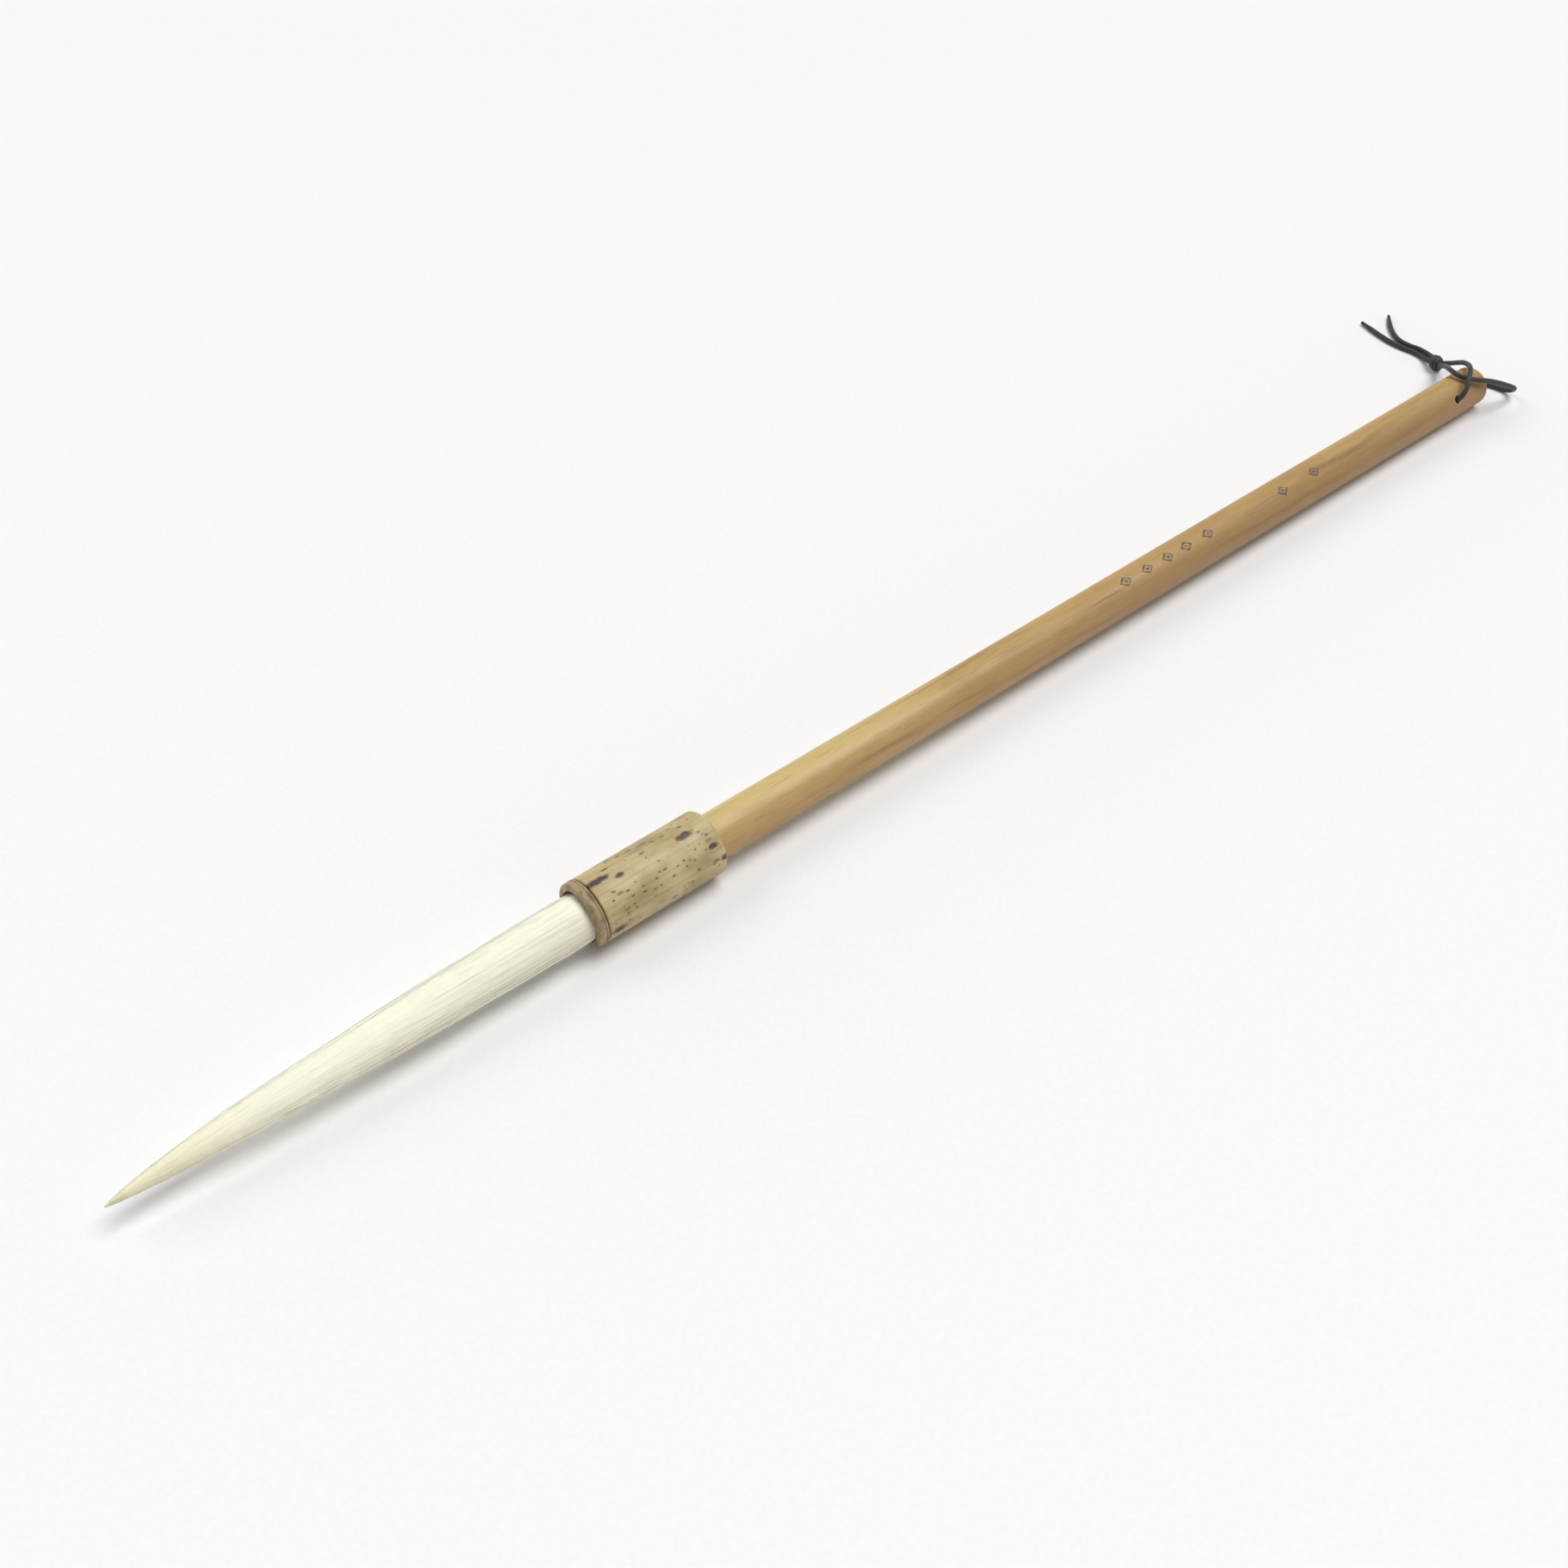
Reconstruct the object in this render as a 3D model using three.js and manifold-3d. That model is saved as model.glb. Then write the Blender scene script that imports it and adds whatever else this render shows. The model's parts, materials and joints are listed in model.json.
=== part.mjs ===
// A calligraphy brush with long goat hair, lying on a table.
// Millimetres, +Z up. The table is Z = 0 and the brush points along X: the hair's tip is at -X and the
// hanging end of the handle is at +X. The origin is on the table, under the middle of the brush.

import * as THREE from "three";
import { mergeVertices } from "three/addons/utils/BufferGeometryUtils.js";
import Module from "manifold-3d";

const wasm = await Module();
wasm.setup();

// Driving dimensions. Every "At" is a distance along the brush's own axis from the tip of the hair.

const hairShowing = 100; // hair in front of the mouth ring
const hairRadius = 5.3; // the full tuft where it leaves the mouth
const ringLength = 2.2;
const sleeveLength = 29;
const handleShowing = 252.8; // from the back of the ferrule to the hanging end
const handleDepth = 10.5; // how far the handle goes into the ferrule

const ferruleRadius = 7.05;
const ringBoreRadius = 5.5;
const sleeveBoreRadius = 5.35;
const handleRadius = 5;
const pithRadius = 2.1; // the hollow down the middle of the bamboo culm
const holeRadius = 1.35; // the hole across the handle that the cord goes through
const holeFromEnd = 12.8;
const holeElevation = THREE.MathUtils.degToRad(35); // the hole's near mouth looks up by this much
const cordRadius = 0.65;
const knotRadius = 2.05;

const gap = 0.3; // between pieces that touch on the real brush
const roundSegments = 24; // facets around a turned piece

// Places that follow from them

const mouthAt = hairShowing;
const sleeveStart = mouthAt + ringLength + gap;
const sleeveEnd = sleeveStart + sleeveLength;
const handleStart = sleeveEnd - handleDepth;
const handleEnd = sleeveEnd + handleShowing;
const holeAt = handleEnd - holeFromEnd;
const endRounding = 1.8; // of the handle's hanging end
const sleeveRounding = 0.9; // of the ferrule's back edge

// The brush rests on the back edge of its ferrule and on the end of its thinner handle, so its axis tilts.

const flatShare = Math.cos(Math.PI / roundSegments); // a facet's distance from the axis, over the radius
const backContactAt = sleeveEnd - sleeveRounding;
const endContactAt = handleEnd - endRounding;
const tilt = Math.atan(((ferruleRadius - handleRadius) * flatShare) / (endContactAt - backContactAt));

// A point on the brush's axis, in the table's frame
function onAxis(along) {
  const x = (along - handleEnd / 2) * Math.cos(tilt);
  const z = handleRadius * flatShare * Math.cos(tilt) + (endContactAt - along) * Math.sin(tilt);
  return new THREE.Vector3(x, 0, z);
}

// Shape helpers

const arc = (centreAlong, centreRadius, radius, fromDegrees, toDegrees, steps) =>
  Array.from({ length: steps + 1 }, (_, i) => {
    const angle = THREE.MathUtils.degToRad(fromDegrees + ((toDegrees - fromDegrees) * i) / steps);
    return [centreAlong + radius * Math.sin(angle), centreRadius + radius * Math.cos(angle)];
  });

// A solid of revolution about the brush's axis. The profile is [along, radius] points, with the outside
// running towards the handle and the inside running back, and a facet's flat is turned to the table.
function turned(profile) {
  const points = profile.map(([along, radius]) => new THREE.Vector2(radius, along));
  const geometry = new THREE.LatheGeometry(points, roundSegments, Math.PI / roundSegments);
  return geometry.rotateZ(-Math.PI / 2);
}

function tube(path, radius, sides, steps) {
  const section = new THREE.Shape();
  for (let i = 0; i < sides; i += 1) {
    const angle = (2 * Math.PI * i) / sides;
    const [x, y] = [radius * Math.cos(angle), radius * Math.sin(angle)];
    if (i === 0) section.moveTo(x, y);
    else section.lineTo(x, y);
  }
  section.closePath();
  return new THREE.ExtrudeGeometry(section, { extrudePath: path, steps, curveSegments: 1 });
}

function toSolid(geometry) {
  const bare = geometry.clone();
  bare.deleteAttribute("normal");
  bare.deleteAttribute("uv");
  const merged = mergeVertices(bare, 1e-4);
  const vertProperties = new Float32Array(merged.attributes.position.array);
  const triVerts = new Uint32Array(merged.index.array);
  return new wasm.Manifold(new wasm.Mesh({ numProp: 3, vertProperties, triVerts }));
}

function fromSolid(solid) {
  const { numProp, vertProperties, triVerts } = solid.getMesh();
  const geometry = new THREE.BufferGeometry();
  const positions = new Float32Array((vertProperties.length / numProp) * 3);
  for (let i = 0; i < positions.length / 3; i += 1) {
    for (let k = 0; k < 3; k += 1) positions[3 * i + k] = vertProperties[numProp * i + k];
  }
  geometry.setAttribute("position", new THREE.BufferAttribute(positions, 3));
  geometry.setIndex(new THREE.BufferAttribute(new Uint32Array(triVerts), 1));
  geometry.computeVertexNormals();
  return geometry;
}

// Materials

const finish = (color, roughness) => new THREE.MeshStandardMaterial({ color, roughness, metalness: 0 });
const handleBamboo = () => finish(0xc2a060, 0.45);
const mottledBamboo = () => finish(0xb0a070, 0.5);
const turnedWood = () => finish(0x9c7b55, 0.55);
const goatHair = () => finish(0xf6f4e2, 0.8);
const darkCord = () => finish(0x3e3937, 0.6);
const bindingThread = () => finish(0xe6dcc0, 0.8);
const rosin = () => finish(0x8a5a24, 0.3);

function piece(name, geometry, material) {
  const mesh = new THREE.Mesh(geometry, material);
  mesh.name = name;
  return mesh;
}

// The tuft: a full cloak of hair over two shorter layers. All three bend about one pivot in front of the
// mouth, and their base is a ball around it, so that it turns inside the mouth ring.

const pivotAt = mouthAt - 3;
const layers = {
  cloak: { length: hairShowing, radius: hairRadius },
  support: { length: 88, radius: 4.1 },
  core: { length: 74, radius: 2.6 },
};
const tuftStations = 14;

// A full belly that runs out to a long fine point
const taper = (share) => (1 - share ** 2) ** 0.65;

// The outside of a layer, from its point back to the pivot, standing off it by a distance. The point
// stands off further, because the sides meet there at a narrow angle.
function layerSide({ length, radius }, standOff) {
  const reach = length + 4 * standOff;
  const last = (mouthAt - pivotAt) / reach;
  return Array.from({ length: tuftStations + 1 }, (_, i) => {
    const share = 1 - (1 - last) * (1 - (1 - i / tuftStations) ** 1.6);
    return [mouthAt - reach * share, (radius + standOff) * taper(share)];
  });
}

// The ball-shaped base between two distances from the axis, going inwards
function layerBase(outerRadius, innerRadius) {
  const [from, to] = [outerRadius, innerRadius].map((r) =>
    THREE.MathUtils.radToDeg(Math.acos(Math.min(1, r / hairRadius))),
  );
  return arc(pivotAt, 0, hairRadius, from, to, 4);
}

function hairLayer(name, layer, within) {
  const outside = layerSide(layer, 0);
  const outerRadius = outside.at(-1)[1];
  const hollow = within ? layerSide(within, gap) : [];
  const innerRadius = within ? hollow.at(-1)[1] : 0;
  const base = layerBase(outerRadius, innerRadius);
  const profile = [...outside.slice(0, -1), ...base, ...hollow.slice(0, -1).reverse()];
  return piece(name, turned(profile), goatHair());
}

// The bound root of the hair, glued into the ferrule

const rootFront = pivotAt + hairRadius + gap;
const rootEnd = 117.5;
const rootRadius = 5;
const waistFrom = 109;
const waistTo = 113.5;
const waistRadius = 3.9;
const threadRadius = 0.28;
const rosinThickness = 1.4;

function hairRoot() {
  const profile = [
    [rootFront, 0],
    [rootFront, rootRadius],
    [waistFrom - 1.2, rootRadius],
    [waistFrom, waistRadius],
    [waistTo, waistRadius],
    [waistTo + 1.2, rootRadius],
    [rootEnd, rootRadius],
    [rootEnd, 0],
  ];
  return piece("hair_root", turned(profile), goatHair());
}

class Helix extends THREE.Curve {
  constructor(from, to, radius, turns) {
    super();
    Object.assign(this, { from, to, radius, turns });
  }

  getPoint(share, target = new THREE.Vector3()) {
    const angle = 2 * Math.PI * this.turns * share;
    const along = THREE.MathUtils.lerp(this.from, this.to, share);
    return target.set(along, this.radius * Math.cos(angle), this.radius * Math.sin(angle));
  }
}

function rootBinding() {
  const turns = 3;
  const stepsPerTurn = 16;
  const path = new Helix(waistFrom + 0.9, waistTo - 0.9, waistRadius + gap + threadRadius, turns);
  return piece("root_binding_thread", tube(path, threadRadius, 8, turns * stepsPerTurn), bindingThread());
}

function rosinSeal() {
  const from = rootEnd + gap;
  const to = from + rosinThickness;
  const profile = [[from, 0], [from, rootRadius], [to - 0.5, rootRadius], [to, rootRadius - 0.8], [to, 0]];
  return piece("rosin_seal", turned(profile), rosin());
}

// The ferrule: a turned ring at the mouth and a sleeve of mottled bamboo

function mouthRing() {
  const lip = 0.75;
  const end = mouthAt + ringLength;
  const profile = [
    [mouthAt, ringBoreRadius],
    ...arc(mouthAt + lip, ferruleRadius - lip, lip, -90, 0, 4),
    [end - 0.3, ferruleRadius],
    [end, ferruleRadius - 0.2],
    [end, ringBoreRadius],
    [mouthAt, ringBoreRadius],
  ];
  return piece("mouth_ring", turned(profile), turnedWood());
}

function ferruleSleeve() {
  const profile = [
    [sleeveStart, sleeveBoreRadius],
    [sleeveStart, ferruleRadius - 0.2],
    [sleeveStart + 0.2, ferruleRadius],
    ...arc(sleeveEnd - sleeveRounding, ferruleRadius - sleeveRounding, sleeveRounding, 0, 90, 4),
    [sleeveEnd, sleeveBoreRadius],
    [sleeveStart, sleeveBoreRadius],
  ];
  return piece("ferrule_sleeve", turned(profile), mottledBamboo());
}

// The handle: a slim bamboo culm with a plugged end and a hole across it for the cord

const holeDirection = new THREE.Vector3(0, -Math.cos(holeElevation), Math.sin(holeElevation));

// A cutter along the cord hole, between two heights above the brush's axis
function holeCutter(radiusLow, radiusHigh, low, high) {
  const geometry = new THREE.CylinderGeometry(radiusHigh, radiusLow, high - low, 16);
  const turn = new THREE.Quaternion().setFromUnitVectors(new THREE.Vector3(0, 1, 0), holeDirection);
  const middle = holeDirection.clone().multiplyScalar((low + high) / 2);
  return toSolid(geometry.applyQuaternion(turn).translate(holeAt + middle.x, middle.y, middle.z));
}

function handleTube() {
  const profile = [
    [handleStart, pithRadius],
    [handleStart, handleRadius - 0.4],
    [handleStart + 0.4, handleRadius],
    ...arc(handleEnd - endRounding, handleRadius - endRounding, endRounding, 0, 90, 5),
    [handleEnd, pithRadius],
    [handleStart, pithRadius],
  ];
  const past = handleRadius + 1;
  const chamfer = 0.6;
  const wide = holeRadius + chamfer;
  const rim = handleRadius - chamfer;
  const culm = toSolid(turned(profile))
    .subtract(holeCutter(holeRadius, holeRadius, -past, past))
    .subtract(holeCutter(holeRadius, wide + 0.4, rim, past))
    .subtract(holeCutter(wide + 0.4, holeRadius, -past, -rim));
  return piece("handle_tube", fromSolid(culm), handleBamboo());
}

function endPlug() {
  const plugRadius = pithRadius - gap;
  const from = holeAt + 3;
  const profile = [[from, 0], [from, plugRadius - 0.3], [from + 0.5, plugRadius]];
  profile.push([handleEnd, plugRadius], [handleEnd, 0]);
  return piece("handle_end_plug", turned(profile), turnedWood());
}

// The hanging cord, in the table's frame. One waxed cord goes through the hole, its two halves are tied
// in a knot that lies on the table, and its two ends run on from there.

const holeCentre = onAxis(holeAt);
const inHole = (height) => holeCentre.clone().addScaledVector(holeDirection, height).toArray();

const cordRoutes = {
  // from the middle of the hole, out of its near mouth, over the handle and down to the knot
  cord_front_run: [
    inHole(gap / 2),
    inHole(2),
    inHole(4),
    [179.6, -4.3, 8.4],
    [180.3, -4.6, 9.5],
    [181.3, -4.4, 10.6],
    [183.3, -3.2, 12.1],
    [186.0, -1.5, 12.5],
    [188.6, 0.6, 11.7],
    [190.9, 3.4, 10.1],
    [193.0, 6.4, 7.7],
    [195.2, 9.5, 5.0],
    [196.4, 11.7, 3.4],
  ],
  // from the middle of the hole, out of its far mouth, round past the end of the handle to the tip of
  // the loop, back over the handle under the first run and down to the knot
  cord_loop_run: [
    inHole(-gap / 2),
    inHole(-2),
    inHole(-4),
    [179.7, 4.4, 2.0],
    [180.7, 5.2, 1.4],
    [182.1, 5.6, 1.1],
    [185.4, 6.3, 0.8],
    [189.7, 6.9, 0.75],
    [193.8, 6.5, 0.75],
    [197.4, 4.9, 0.75],
    [199.9, 2.3, 0.75],
    [201.3, -0.9, 0.75],
    [201.9, -4.1, 0.9],
    [201.6, -6.3, 2.2],
    [200.1, -7.3, 3.9],
    [197.6, -7.0, 5.5],
    [194.2, -6.0, 7.3],
    [190.8, -5.0, 8.9],
    [187.4, -3.8, 10.1],
    [184.8, -2.2, 10.8],
    [183.6, 0.1, 11.2],
    [184.5, 2.8, 10.8],
    [187.2, 5.5, 9.2],
    [190.5, 8.0, 6.9],
    [193.1, 10.3, 4.7],
    [194.7, 12.0, 3.2],
  ],
  cord_tail_long: [
    [196.9, 16.6, 1.5],
    [198.0, 19.2, 0.8],
    [198.3, 22.0, 0.7],
    [197.7, 25.4, 0.7],
    [197.4, 29.5, 0.7],
    [197.9, 34.0, 0.7],
    [199.1, 40.3, 0.7],
  ],
  cord_tail_short: [
    [198.5, 15.8, 1.6],
    [200.2, 18.7, 0.8],
    [200.5, 22.0, 0.7],
    [199.8, 25.4, 0.7],
    [200.0, 28.8, 0.7],
    [202.4, 32.9, 0.7],
    [207.2, 37.6, 0.7],
  ],
};

function cordPiece([name, route]) {
  const path = new THREE.CatmullRomCurve3(route.map((point) => new THREE.Vector3(...point)));
  const steps = Math.round(path.getLength() / (2 * cordRadius * 1.2));
  return piece(name, tube(path, cordRadius, 8, steps), darkCord());
}

function cordKnot() {
  const geometry = new THREE.SphereGeometry(1, 12, 8);
  geometry.scale(knotRadius, knotRadius * 1.1, knotRadius);
  const knot = piece("cord_knot", geometry, darkCord());
  knot.position.set(196.4, 14.1, knotRadius);
  return knot;
}

// The assembly

const brush = new THREE.Group();
brush.add(
  hairLayer("cloak_hair", layers.cloak, layers.support),
  hairLayer("support_hair", layers.support, layers.core),
  hairLayer("core_hair", layers.core),
  hairRoot(),
  rootBinding(),
  rosinSeal(),
  mouthRing(),
  ferruleSleeve(),
  handleTube(),
  endPlug(),
);
brush.rotation.y = tilt;
brush.position.copy(onAxis(0));

const hangingCord = new THREE.Group();
hangingCord.add(...Object.entries(cordRoutes).map(cordPiece), cordKnot());

const calligraphyBrush = new THREE.Group();
calligraphyBrush.add(brush, hangingCord);

export default calligraphyBrush;
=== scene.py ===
"""A calligraphy brush with a long tuft of goat hair, a mottled bamboo ferrule and a knotted cord.

Metres, +Z up. The table is z = 0. Most pieces are made in the brush's own frame, in which X runs along
its axis from the tip of the hair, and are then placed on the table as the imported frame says.
"""

import json
import math
import random

import bmesh
import bpy
import numpy as np
from mathutils import Matrix, Vector, noise
from mathutils.bvhtree import BVHTree


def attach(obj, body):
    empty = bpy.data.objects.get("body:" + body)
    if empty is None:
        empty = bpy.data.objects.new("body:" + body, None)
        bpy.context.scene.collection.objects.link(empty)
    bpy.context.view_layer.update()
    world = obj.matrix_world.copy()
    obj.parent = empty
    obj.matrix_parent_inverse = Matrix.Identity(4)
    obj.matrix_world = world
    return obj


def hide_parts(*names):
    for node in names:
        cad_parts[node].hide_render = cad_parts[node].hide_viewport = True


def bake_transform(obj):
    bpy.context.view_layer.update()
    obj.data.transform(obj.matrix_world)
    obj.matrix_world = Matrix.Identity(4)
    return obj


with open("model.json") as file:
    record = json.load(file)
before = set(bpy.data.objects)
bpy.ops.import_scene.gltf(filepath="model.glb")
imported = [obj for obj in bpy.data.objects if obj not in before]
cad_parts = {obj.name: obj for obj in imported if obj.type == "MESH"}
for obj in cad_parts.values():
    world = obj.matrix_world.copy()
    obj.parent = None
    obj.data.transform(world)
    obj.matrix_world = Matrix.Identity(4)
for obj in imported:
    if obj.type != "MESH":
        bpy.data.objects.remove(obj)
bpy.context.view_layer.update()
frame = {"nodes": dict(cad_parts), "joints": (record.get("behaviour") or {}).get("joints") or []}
dice = random.Random(11)
MM = 0.001

# --------------------------------------------------------------------------------------------------
# Sizes, in millimetres along the brush from the tip of the hair, and out from its axis

MOUTH_AT = 100.0
RING_END = 102.2
SLEEVE_START = 102.5
SLEEVE_END = 131.5
HANDLE_START = 121.0
HANDLE_END = 384.3
PLUG_START = 374.5
PIVOT_AT = 97.0
HOLE_AT = 371.5

FERRULE_RADIUS = 7.01
RING_BORE = 5.5
SLEEVE_BORE = 5.35
HANDLE_RADIUS = 4.98
PITH_RADIUS = 2.1
PLUG_RADIUS = 2.0
HAIR_RADIUS = 5.15
HOLE_RADIUS = 0.95
HOLE_BEVEL = 0.35
HOLE_ELEVATION = math.radians(35)
CORD_DIAMETER = 1.3

joints = {joint["name"]: joint for joint in frame["joints"]}


def brush_placement():
    """The matrix from the brush's own frame to the table's, from the places of the two joints."""
    pivot = Vector(joints["tuft_bend"]["pos_m"])
    hole = Vector(joints["cord_swing"]["pos_m"])
    along = (hole - pivot).normalized()
    up = Vector(joints["tuft_bend"]["axis"])
    placement = Matrix([along, up.cross(along), up]).transposed().to_4x4()
    placement.translation = pivot - along * PIVOT_AT * MM
    return placement


BRUSH = brush_placement()


def on_axis(along):
    """The point of the brush's axis that is some millimetres along, in the table's frame."""
    return BRUSH @ (Vector((along, 0, 0)) * MM)


# --------------------------------------------------------------------------------------------------
# Camera, light and table


def make_camera():
    """The photograph's viewpoint, solved from the brush's known length."""
    azimuth = math.radians(-40.06)
    elevation = math.radians(45.59)
    level = math.cos(elevation)
    back = Vector((math.sin(azimuth) * level, -math.cos(azimuth) * level, math.sin(elevation)))
    data = bpy.data.cameras.new("camera")
    data.lens = 45.54
    data.sensor_width = 36
    data.clip_start = 0.01
    data.clip_end = 10
    camera = bpy.data.objects.new("camera", data)
    camera.location = (-0.22256, -0.21655, 0.29874)
    camera.rotation_mode = "QUATERNION"
    camera.rotation_quaternion = back.to_track_quat("Z", "Y")
    bpy.context.scene.collection.objects.link(camera)
    bpy.context.scene.camera = camera


def far_light(name, direction, width, strength):
    """A soft light a long way off. Its width is the angle that it fills, in degrees."""
    data = bpy.data.lights.new(name, "SUN")
    data.angle = math.radians(width)
    data.energy = strength
    light = bpy.data.objects.new(name, data)
    light.rotation_mode = "QUATERNION"
    light.rotation_quaternion = Vector(direction).to_track_quat("Z", "Y")
    bpy.context.scene.collection.objects.link(light)


def make_lights():
    """A strong soft lamp overhead, and a weaker one behind the brush."""
    far_light("ceiling", (0.36, -0.13, 0.92), 38, 2.2)
    far_light("window", (-0.28, 0.70, 0.66), 35, 0.8)


def make_room():
    """Light from all round, pale near the horizon and dim overhead. Heights are sines of elevation."""
    pale, dim = 0.78, 0.2
    pale_up_to, dim_from = 0.25, 0.5
    world = bpy.data.worlds.new("world")
    world.use_nodes = True
    tree = world.node_tree
    place = tree.nodes.new("ShaderNodeTexCoord")
    axes = tree.nodes.new("ShaderNodeSeparateXYZ")
    height = tree.nodes.new("ShaderNodeMapRange")
    height.interpolation_type = "SMOOTHSTEP"
    height.inputs["From Min"].default_value = pale_up_to
    height.inputs["From Max"].default_value = dim_from
    height.inputs["To Min"].default_value = pale
    height.inputs["To Max"].default_value = dim
    background = tree.nodes["Background"]
    background.inputs["Color"].default_value = (0.98, 0.98, 1.0, 1)
    tree.links.new(place.outputs["Generated"], axes.inputs[0])
    tree.links.new(axes.outputs["Z"], height.inputs["Value"])
    tree.links.new(height.outputs["Result"], background.inputs["Strength"])
    bpy.context.scene.world = world


def make_table():
    """A wide flat sheet of pale paper."""
    reach = 12.0
    corners = [(-reach, -reach, 0), (reach, -reach, 0), (reach, reach, 0), (-reach, reach, 0)]
    mesh = bpy.data.meshes.new("table")
    mesh.from_pydata(corners, [], [(0, 1, 2, 3)])
    table = bpy.data.objects.new("table", mesh)
    bpy.context.scene.collection.objects.link(table)
    paint = Paint("table_paper")
    grain = paint.noise(paint.place(), 900, detail=3)
    hollow, paper = (0.862, 0.862, 0.866), (0.878, 0.878, 0.882)
    colour = paint.mix(paint.ramp(grain, 0.35, 0.65), hollow, paper)
    paint.surface(colour, roughness=0.75)
    mesh.materials.append(paint.material)


# --------------------------------------------------------------------------------------------------
# Materials


def srgb(code):
    """A colour written as 0xRRGGBB, as linear values."""
    parts = [((code >> shift) & 255) / 255 for shift in (16, 8, 0)]
    return tuple(c / 12.92 if c <= 0.04045 else ((c + 0.055) / 1.055) ** 2.4 for c in parts)


class Paint:
    """Builds one node material. Each method adds nodes and returns the output to use next."""

    def __init__(self, name):
        self.material = bpy.data.materials.new(name)
        self.material.use_nodes = True
        self.tree = self.material.node_tree
        self.shader = self.tree.nodes["Principled BSDF"]

    def add(self, kind, **settings):
        """A new node of a kind, with its own settings."""
        node = self.tree.nodes.new(kind)
        for key, value in settings.items():
            setattr(node, key, value)
        return node

    def plug(self, socket, value):
        """Links another node's output to a socket, or sets the socket to a number or a colour."""
        if isinstance(value, bpy.types.NodeSocket):
            self.tree.links.new(value, socket)
        elif socket.type == "RGBA":
            socket.default_value = (*value, 1)
        else:
            socket.default_value = value

    def place(self):
        """Where a point is in its piece's own frame, in metres."""
        return self.add("ShaderNodeTexCoord").outputs["Object"]

    def stretch(self, vector, scale):
        """A place with each axis multiplied, so that a pattern is drawn out along the smallest one."""
        node = self.add("ShaderNodeMapping")
        self.plug(node.inputs["Vector"], vector)
        node.inputs["Scale"].default_value = scale
        return node.outputs["Vector"]

    def noise(self, vector, scale, detail, roughness=0.5):
        """Soft random clouds from 0 to 1. The scale is in clouds to the metre."""
        node = self.add("ShaderNodeTexNoise")
        self.plug(node.inputs["Vector"], vector)
        node.inputs["Scale"].default_value = scale
        node.inputs["Detail"].default_value = detail
        node.inputs["Roughness"].default_value = roughness
        return node.outputs["Fac"]

    def dots(self, vector, scale):
        """The distance to the nearest of many scattered points, and a random colour of each one."""
        node = self.add("ShaderNodeTexVoronoi")
        self.plug(node.inputs["Vector"], vector)
        node.inputs["Scale"].default_value = scale
        return node.outputs["Distance"], node.outputs["Color"]

    def attribute(self, name):
        """A number that is kept at each vertex of the mesh."""
        return self.add("ShaderNodeAttribute", attribute_name=name).outputs["Fac"]

    def math(self, operation, a, b):
        """An operation on two numbers."""
        node = self.add("ShaderNodeMath", operation=operation)
        self.plug(node.inputs[0], a)
        self.plug(node.inputs[1], b)
        return node.outputs[0]

    def ramp(self, value, low, high, from_value=0.0, to_value=1.0):
        """A smooth step from one value to another as the input goes from low to high."""
        node = self.add("ShaderNodeMapRange", interpolation_type="SMOOTHSTEP")
        self.plug(node.inputs["Value"], value)
        node.inputs["From Min"].default_value = low
        node.inputs["From Max"].default_value = high
        node.inputs["To Min"].default_value = from_value
        node.inputs["To Max"].default_value = to_value
        return node.outputs["Result"]

    def mix(self, share, a, b):
        """The colour that goes from a to b as the share goes from 0 to 1."""
        node = self.add("ShaderNodeMix", data_type="RGBA")
        self.plug(node.inputs["Factor"], share)
        self.plug(node.inputs["A"], a)
        self.plug(node.inputs["B"], b)
        return node.outputs["Result"]

    def axis(self, vector, name):
        """The X, Y or Z part of a vector, or the first channel of a colour."""
        node = self.add("ShaderNodeSeparateXYZ")
        self.plug(node.inputs[0], vector)
        return node.outputs[name]

    def bump(self, height, distance, strength):
        """A normal that is tipped by the slope of a height. The distance is in metres."""
        node = self.add("ShaderNodeBump")
        node.inputs["Strength"].default_value = strength
        node.inputs["Distance"].default_value = distance
        self.plug(node.inputs["Height"], height)
        return node.outputs["Normal"]

    def surface(self, colour, roughness, normal=None, **constants):
        """Finishes the material. Constants are the shader's inputs, with _ for each space."""
        self.plug(self.shader.inputs["Base Color"], colour)
        self.plug(self.shader.inputs["Roughness"], roughness)
        if normal:
            self.plug(self.shader.inputs["Normal"], normal)
        for key, value in constants.items():
            self.shader.inputs[key.replace("_", " ")].default_value = value
        return self.material


def lengthwise_grain(paint, place, fineness):
    """Streaks of bamboo fibre, long in X and narrow round the culm."""
    return paint.noise(paint.stretch(place, (0.03, 1, 1)), fineness, detail=5, roughness=0.6)


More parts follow.
